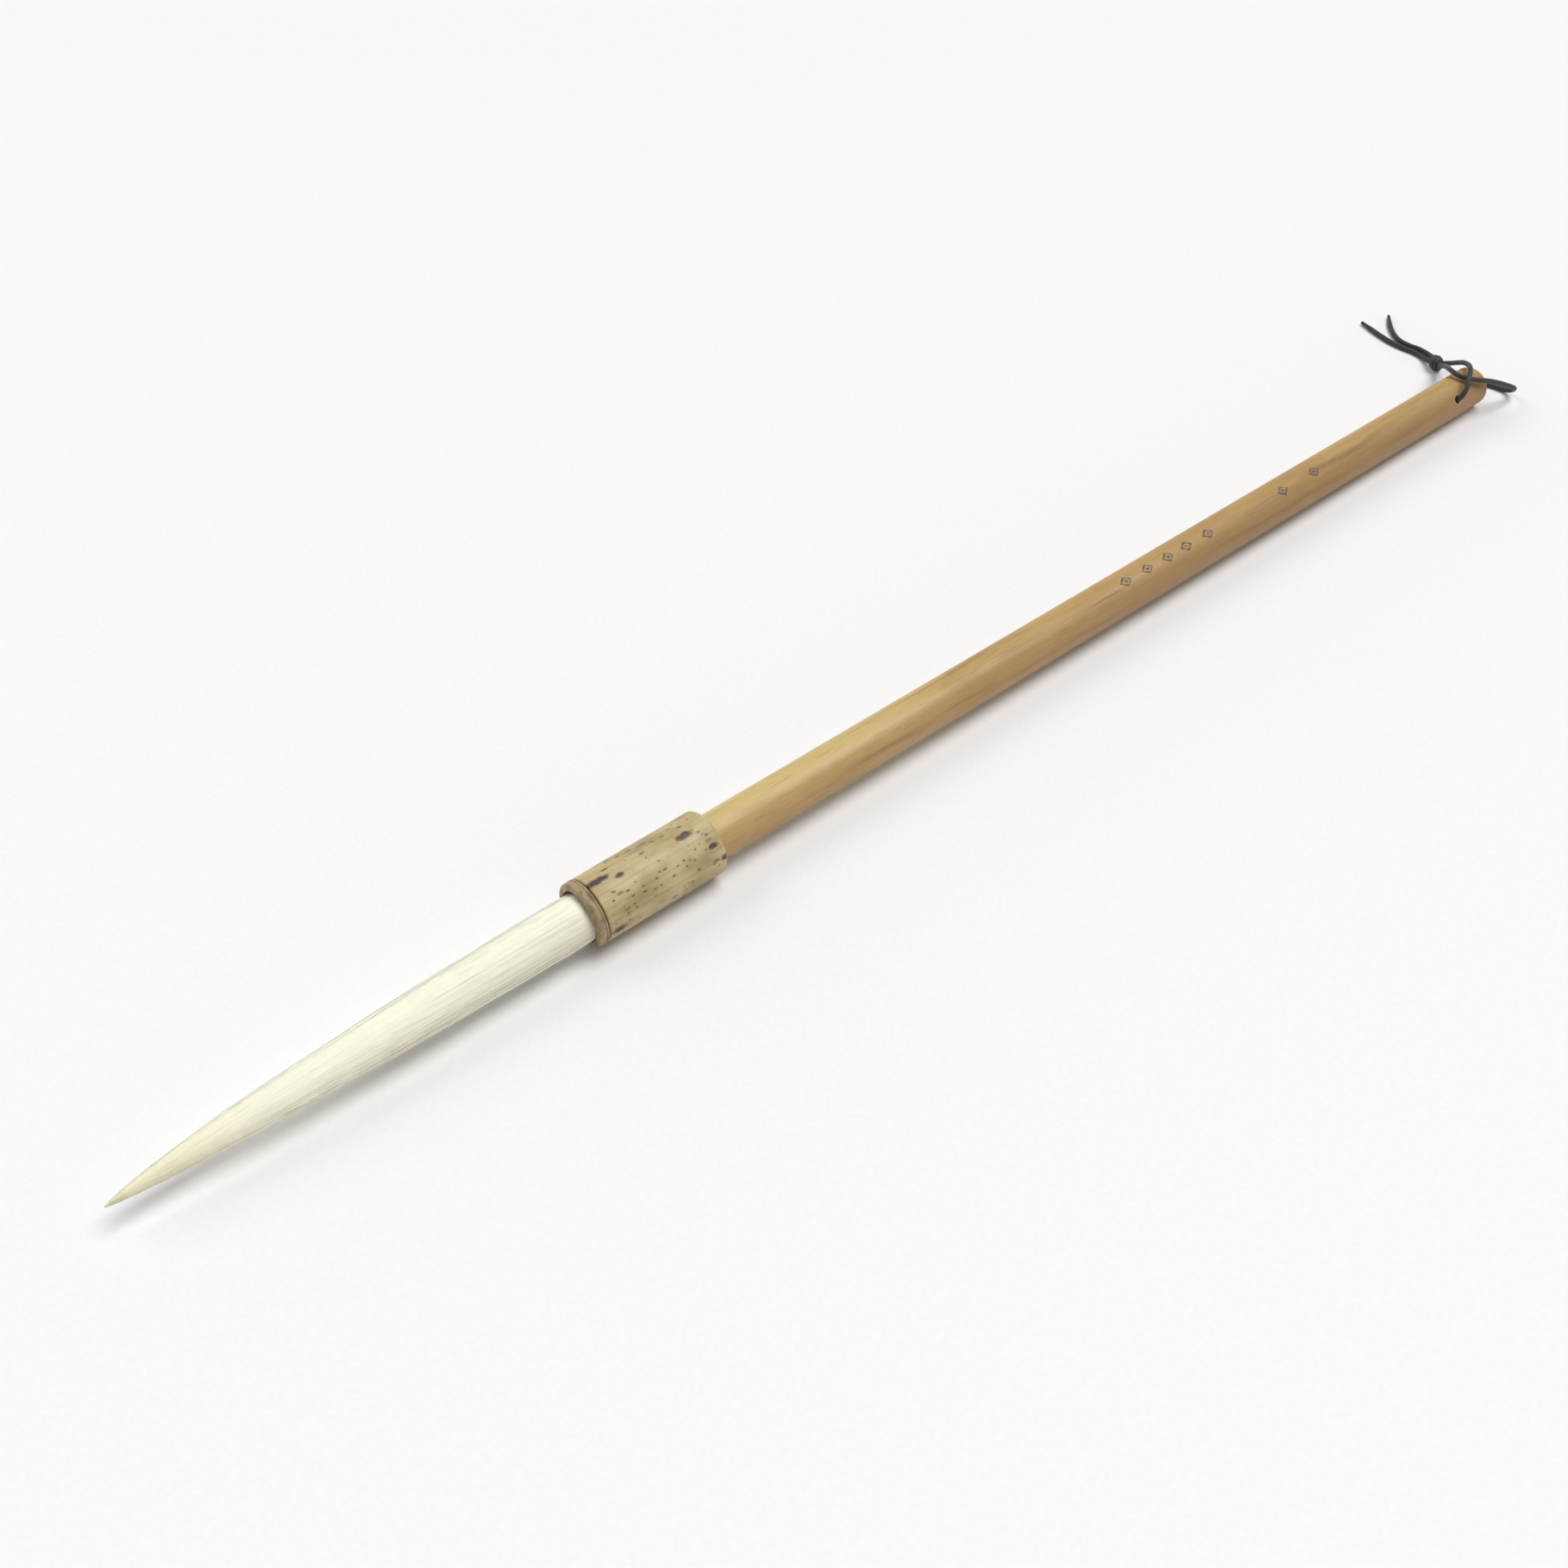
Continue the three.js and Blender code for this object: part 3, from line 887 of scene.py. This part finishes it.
def tuft_radius(from_mouth):
    """The outside of the tuft, at a distance from the mouth: a full belly and a long fine point."""
    share = min(1.0, max(0.0, from_mouth / MOUTH_AT))
    wave = 0.012 * math.sin(from_mouth * 0.19) + 0.010 * math.sin(from_mouth * 0.43 + 1.0)
    taper = (1 - share**2) ** 0.65
    return HAIR_RADIUS * taper * (1 + wave * smooth_step(share, 0.03, 0.3))


def droop(from_mouth):
    """How far the hair hangs below the brush's axis."""
    share = min(1.0, max(0.0, from_mouth / MOUTH_AT))
    return 0.28 + 0.42 * share + 1.1 * share**7


def lock_depth(from_mouth, angle):
    """The hollows between locks of hair: shallow on top, deeper and wider apart underneath."""
    share = max(0.0, from_mouth / MOUTH_AT)
    under = smooth_step(-math.sin(angle - math.radians(30)), 0.05, 0.8)
    swirl = angle + 0.10 * math.sin(share * 5.0 + 2 * angle)
    fine = noise.noise(Vector((share * 2.2, 9 * math.cos(swirl), 9 * math.sin(swirl))))
    locks = noise.noise(Vector((share * 1.3 + 4, 4.2 * math.cos(swirl), 4.2 * math.sin(swirl))))
    edge = max(0.0, 0.12 - abs(locks)) / 0.12
    return 0.05 * fine - (0.06 + 0.3 * under) * edge


def tuft_point(from_mouth, angle, lift):
    """A point at a height above the tuft's outside, in the brush's frame and in metres."""
    radius = tuft_radius(from_mouth)
    ease = smooth_step(radius, 0.2, 2.5) * smooth_step(from_mouth, -0.5, 6.0)
    least = 0.1 * radius
    radius = max(least, radius + lock_depth(from_mouth, angle) * ease + lift)
    y = radius * math.cos(angle)
    z = radius * math.sin(angle) - droop(from_mouth)
    return Vector((MOUTH_AT - from_mouth, y, z)) * MM


def away_from_middle(point):
    """The direction straight out from the middle of the tuft, at a point of it in metres."""
    return Vector((0, point.y, point.z + droop(MOUTH_AT - point.x / MM) * MM)).normalized()


def tuft_body_mesh():
    """The closed body of the tuft, with its locks."""
    stations = [MOUTH_AT - TUFT_BACK, -1.0, 0.0, *spread(1.0, 92.0, 1.0), *spread(92.5, 98.5, 0.5)]
    segments = 168
    points = []
    for from_mouth in stations:
        inset = -0.08 - 0.5 * tuft_radius(from_mouth) * smooth_step(from_mouth, 88.0, 98.0)
        points += [tuft_point(from_mouth, 2 * math.pi * k / segments, inset) for k in range(segments)]
    faces = tube_faces(len(stations), segments)
    sunk = -20.0  # so far below the outside that tuft_point gives its least radius
    last_ring = len(points) - segments
    for ring, from_mouth in ((0, stations[0]), (last_ring, stations[-1] + 0.5)):
        faces += cap_faces(ring, segments, len(points))
        points.append(tuft_point(from_mouth, 0.0, sunk))
    mesh = solid("tuft_body", points, faces)
    soften(mesh, 80)
    along, _, _ = places_on(mesh)
    store(mesh, "shade", np.full(len(along), 0.55))
    store(mesh, "tip", (MOUTH_AT - along) / MOUTH_AT)
    return mesh


class StrandField:
    """Collects thin three-sided hairs into one mesh, shaded as the body of hair that they lie on."""

    SIDES = 3
    OWN_ROUNDNESS = 0.32  # how much of a hair's own round shape its shading shows

    def __init__(self, body_mesh):
        corners = [vertex.co for vertex in body_mesh.vertices]
        self.body = BVHTree.FromPolygons(corners, [list(face.vertices) for face in body_mesh.polygons])
        self.points = []
        self.normals = []
        self.faces = []
        self.shade = []
        self.tip = []

    def body_direction(self, point, from_mouth):
        """The way that the body of hair faces near a point: straight out from the middle at the tip."""
        near_tip = smooth_step(from_mouth, 84.0, 94.0)
        return self.body.find_nearest(point)[1].lerp(away_from_middle(point), near_tip)

    def add(self, path, radius, shade):
        """Adds one hair along a path. Its radius, in millimetres, falls to a quarter at its end."""
        start = len(self.points)
        last = len(path) - 1
        for i, point in enumerate(path):
            ahead = path[min(i + 1, last)] - path[max(i - 1, 0)]
            side = ahead.cross(Vector((0.1, 0.3, 1))).normalized()
            other = ahead.cross(side).normalized()
            out = radius * (1 - 0.75 * smooth_step(i / last, 0.7, 1.0)) * MM
            from_mouth = MOUTH_AT - point.x / MM
            facing = self.body_direction(point, from_mouth)
            for k in range(self.SIDES):
                turn = 2 * math.pi * k / self.SIDES
                outwards = math.cos(turn) * side + math.sin(turn) * other
                self.points.append(point + out * outwards)
                self.normals.append((facing + self.OWN_ROUNDNESS * outwards).normalized())
                self.shade.append(shade)
                self.tip.append(from_mouth / MOUTH_AT)
        self.faces += tube_faces(len(path), self.SIDES, start)
        end = start + last * self.SIDES
        self.faces.append((start + 2, start + 1, start))
        self.faces.append((end, end + 1, end + 2))

    def mesh(self, name):
        """All the hairs as one mesh."""
        mesh = bpy.data.meshes.new(name)
        mesh.from_pydata(self.points, [], self.faces)
        for face in mesh.polygons:
            face.use_smooth = True
        store(mesh, "shade", self.shade)
        store(mesh, "tip", self.tip)
        mesh.normals_split_custom_set_from_vertices(self.normals)
        return mesh


def surface_strands(field, count):
    """Hairs that lie on the tuft. Half come out of the mouth, and most end near the tip."""
    in_the_mouth = -2.0
    for _ in range(count):
        angle = dice.uniform(0, 2 * math.pi)
        start = dice.choice([in_the_mouth, dice.uniform(2, 60)])
        end = min(99.95, max(start + 25, MOUTH_AT - abs(dice.gauss(0, 12))))
        drift = dice.gauss(0, 0.07)
        sway = dice.uniform(-0.03, 0.03)
        rise = dice.uniform(-0.08, 0.03)
        steps = max(8, round((end - start) / 5.0))
        path = []
        for i in range(steps + 1):
            share = i / steps
            at = start + (end - start) * share
            under_skin = -0.12 * (1 - smooth_step(share, 0.0, 0.08))
            under_skin -= 0.06 * smooth_step(share, 0.9, 1.0)
            fullness = smooth_step(tuft_radius(at), 0.2, 2.2)
            turn = angle + drift * share + sway * math.sin(share * 7)
            path.append(tuft_point(at, turn, (rise + under_skin) * fullness))
        # Partly real tan hairs, partly painted shade: strands on the lower near side get lower shades
        tan_and_shade = smooth_step(math.cos(angle - SHADE_AND_TAN_SIDE), 0.55, 0.95)
        radius = dice.uniform(0.032, 0.052)
        shade = dice.uniform(0.3, 1.0) - 0.55 * tan_and_shade * dice.random()
        field.add(path, radius, shade)


def stray_strands(field, count):
    """Hairs that stand off a little along the tuft, with some short ones under the mouth's rim."""
    for index in range(count):
        at_rim = index % 3 == 0
        angle = dice.uniform(3.3, 4.4) if at_rim else dice.uniform(0, 2 * math.pi)
        start = -1.0 if at_rim else dice.uniform(0, 70)
        length = dice.uniform(5, 10) if at_rim else dice.uniform(10, 26)
        lift = dice.uniform(0.15, 0.55)
        drift = dice.gauss(0, 0.12)
        steps = 8
        path = []
        for i in range(steps + 1):
            share = i / steps
            at = min(99.0, start + length * share)
            path.append(tuft_point(at, angle + drift * share, -0.1 + (0.1 + lift) * share**1.6))
        field.add(path, dice.uniform(0.025, 0.04), dice.uniform(0.4, 1.0))


def bend_with_tuft(piece):
    """Bakes a piece's placement into its mesh."""
    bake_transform(piece)


def make_tuft():
    """The body of hair and the separate hairs on it."""
    body_mesh = tuft_body_mesh()
    field = StrandField(body_mesh)
    surface_strands(field, SURFACE_STRANDS)
    stray_strands(field, STRAY_STRANDS)
    body = show("tuft_body", body_mesh, goat_hair("goat_hair_mass", 0xFDFAEA, 0xF4EED6))
    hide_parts("cloak_hair", "support_hair", "core_hair")
    bend_with_tuft(body)
    strands = show("tuft_strands", field.mesh("tuft_strands"), goat_hair("goat_hair_strands"))
    bend_with_tuft(strands)


# --------------------------------------------------------------------------------------------------
# The cord: one waxed lace through the hole, made as its two halves, which meet in the hole. Points
# are in millimetres in the table's frame.


def in_hole(height):
    """A point on the hole's axis, at a height above the middle of the handle (the near mouth is up)."""
    upwards = BRUSH.to_3x3() @ hole_direction()
    return tuple(on_axis(HOLE_AT) / MM + upwards * height)


FRONT_HALF = [
    in_hole(0.15),
    in_hole(2.0),
    in_hole(4.0),
    (179.6, -4.3, 8.4),
    (180.3, -4.6, 9.5),
    (181.3, -4.4, 10.6),
    (183.3, -3.2, 12.1),
    (186.0, -1.5, 12.5),
    (188.6, 0.6, 11.7),
    (190.9, 3.4, 10.1),
    (193.0, 6.4, 7.7),
    (195.2, 9.5, 5.0),
    (196.3, 11.7, 3.4),
    (196.4, 14.1, 2.1),
    (196.9, 16.6, 1.4),
    (198.0, 19.2, 0.8),
    (198.3, 22.0, 0.7),
    (197.7, 25.4, 0.7),
    (197.4, 29.5, 0.7),
    (197.9, 34.0, 0.7),
    (199.1, 40.3, 0.7),
]
LOOP_HALF = [
    in_hole(-0.15),
    in_hole(-2.0),
    in_hole(-4.0),
    (179.7, 4.4, 2.0),
    (180.7, 5.2, 1.4),
    (182.1, 5.6, 1.1),
    (185.4, 6.3, 0.8),
    (189.7, 6.9, 0.75),
    (193.8, 6.5, 0.75),
    (197.4, 4.9, 0.75),
    (199.9, 2.3, 0.75),
    (201.3, -0.9, 0.75),
    (201.9, -4.1, 0.9),
    (201.6, -6.3, 2.2),
    (200.1, -7.3, 3.9),
    (197.6, -7.0, 5.5),
    (194.2, -6.0, 7.3),
    (190.8, -5.0, 8.9),
    (187.4, -3.8, 10.1),
    (184.8, -2.2, 10.8),
    (183.6, 0.1, 11.2),
    (184.5, 2.8, 10.8),
    (187.2, 5.5, 9.2),
    (190.5, 8.0, 6.9),
    (193.1, 10.3, 4.7),
    (195.0, 12.2, 3.2),
    (197.3, 14.2, 2.3),
    (198.7, 16.0, 1.5),
    (200.2, 18.7, 0.8),
    (200.5, 22.0, 0.7),
    (199.8, 25.4, 0.7),
    (200.0, 28.8, 0.7),
    (202.4, 32.9, 0.7),
    (207.2, 37.6, 0.7),
]


def through(points):
    """A centripetal Catmull-Rom curve through the points, as a finely divided line."""
    per_span = 8
    spots = [Vector(p) for p in points]
    line = []
    for i in range(len(spots) - 1):
        before = spots[i - 1] if i else spots[i] * 2 - spots[i + 1]
        after = spots[i + 2] if i + 2 < len(spots) else spots[i + 1] * 2 - spots[i]
        a, b = spots[i], spots[i + 1]
        gaps = [max(1e-6, (q - p).length) ** 0.5 for p, q in ((before, a), (a, b), (b, after))]
        g0, g1, g2 = gaps
        leave = ((a - before) / g0 - (b - before) / (g0 + g1) + (b - a) / g1) * g1
        arrive = ((b - a) / g1 - (after - a) / (g1 + g2) + (after - b) / g2) * g1
        for k in range(per_span):
            t = k / per_span
            line.append(
                a * (2 * t**3 - 3 * t**2 + 1)
                + leave * (t**3 - 2 * t**2 + t)
                + b * (3 * t**2 - 2 * t**3)
                + arrive * (t**3 - t**2)
            )
    return [*line, spots[-1]]


def lace_mesh(name, line, radius, sides=20, thin_end=0.0):
    """A round lace along a line in millimetres, slightly uneven. Its far end may be pared thinner."""
    pared = 5.0
    count = len(line)
    normal = Vector((0, 0, 1))
    points = []
    for i, spot in enumerate(line):
        ahead = (line[min(i + 1, count - 1)] - line[max(i - 1, 0)]).normalized()
        normal = (normal - ahead * normal.dot(ahead)).normalized()
        side = ahead.cross(normal)
        thinner = 1 - thin_end * (1 - smooth_step((spot - line[-1]).length, 0.0, pared))
        for k in range(sides):
            turn = 2 * math.pi * k / sides
            uneven = 1 + 0.05 * noise.noise(spot * 0.8 + Vector((0, 0, k * 0.35)))
            out = radius * uneven * thinner
            points.append(spot + out * (math.cos(turn) * normal + math.sin(turn) * side))
    faces = tube_faces(count, sides)
    faces.append(tuple(reversed(range(sides))))
    faces.append(tuple(range((count - 1) * sides, count * sides)))
    mesh = solid(name, [p * MM for p in points], faces)
    soften(mesh, 50)
    return mesh


def make_cord_half(name, route, material, nodes):
    """One half of the cord, from the middle of the hole to its bare end."""
    line = through(route)
    mesh = lace_mesh(name, line, CORD_DIAMETER / 2, thin_end=0.35)
    piece = show(name, mesh, material, "cord", placed=False)
    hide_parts(*nodes)


def knot_line():
    """The turns of lace drawn tight round the place where the halves meet, fullest in the middle."""
    centre = Vector((196.75, 14.15, 2.05))
    along = Vector((0.22, 0.95, -0.2)).normalized()
    side = along.cross(Vector((0, 0, 1))).normalized()
    up = side.cross(along)
    turns = 2.6
    steps = 100
    line = []
    for i in range(steps + 1):
        share = i / steps
        turn = 2 * math.pi * turns * share + 0.6
        reach = 1.12 + 0.34 * math.sin(math.pi * share)
        slide = 1.1 * (2 * share - 1) + 0.5 * math.sin(turn + 0.8)
        outwards = math.cos(turn) * side + 0.95 * math.sin(turn) * up
        line.append(centre + along * slide + reach * outwards)
    return line


def make_knot(material):
    """The lace taken up in the knot. It's drawn a little thinner there."""
    drawn_radius = 0.62
    mesh = lace_mesh("cord_knot_turns", knot_line(), drawn_radius, sides=16)
    piece = show("cord_knot_turns", mesh, material, "cord", placed=False)
    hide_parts("cord_knot")
    return piece


def make_cord():
    """The knot and the two halves of the cord."""
    lace = waxed_cord()
    knot = make_knot(lace)
    front_nodes = ["cord_front_run", "cord_tail_long"]
    loop_nodes = ["cord_loop_run", "cord_tail_short"]
    make_cord_half("cord_front_half", FRONT_HALF, lace, front_nodes)
    make_cord_half("cord_loop_half", LOOP_HALF, lace, loop_nodes)


# --------------------------------------------------------------------------------------------------
# The inner pieces


def dress_inner_pieces():
    """Gives the hidden pieces their materials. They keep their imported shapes."""
    materials = {
        "hair_root": bound_hair(),
        "root_binding_thread": binding_thread(),
        "rosin_seal": rosin(),
    }
    for node, material in materials.items():
        slots = frame["nodes"][node].data.materials
        slots.clear()
        slots.append(material)


make_camera()
make_lights()
make_room()
make_table()
make_cord()
dress_inner_pieces()
make_mouth_ring()
make_sleeve()
make_handle()
make_plug()
make_tuft()

bpy.context.scene.view_settings.view_transform = "Standard"
